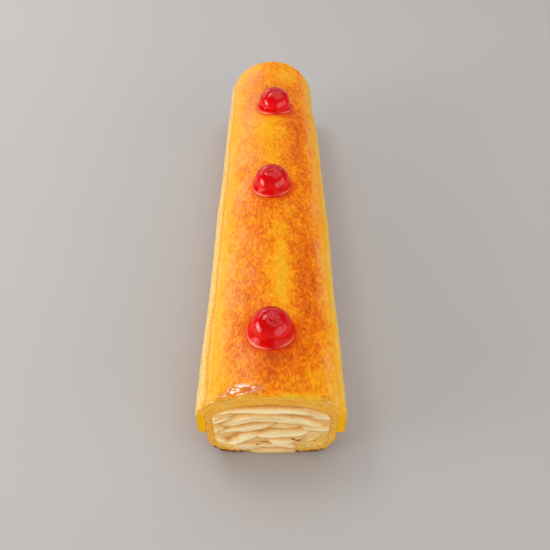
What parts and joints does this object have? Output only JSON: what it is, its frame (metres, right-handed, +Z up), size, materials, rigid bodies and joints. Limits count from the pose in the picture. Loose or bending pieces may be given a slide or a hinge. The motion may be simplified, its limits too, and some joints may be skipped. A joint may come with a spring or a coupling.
{
  "type": "swiss roll",
  "caption": "Swiss roll cake: sponge sheet rolled round whipped cream, with a toasted egg-yolk coat and glace cherries along its top.",
  "frame": {"origin": "on the surface the roll rests on, below the middle of the roll", "axes": "+Y runs along the roll, from the front cut to the narrower back cut; +X to the right of someone who faces the front cut; +Z up"},
  "size_m": [0.0814, 0.3372, 0.0773],
  "materials": {
    "sponge": "fine open crumb, matt, with a browned skin outside",
    "cream": "soft satin whipped cream",
    "yolk_coat": "moist egg-yolk cream, toasted in orange and brown speckles",
    "cherry": "wet, glossy, slightly see-through"
  },
  "bodies": {
    "root": {"sponge": "sponge", "cream": "cream", "yolk_coat": "yolk_coat", "cherry_front": "cherry", "cherry_middle": "cherry", "cherry_back": "cherry"}
  },
  "joints": []
}
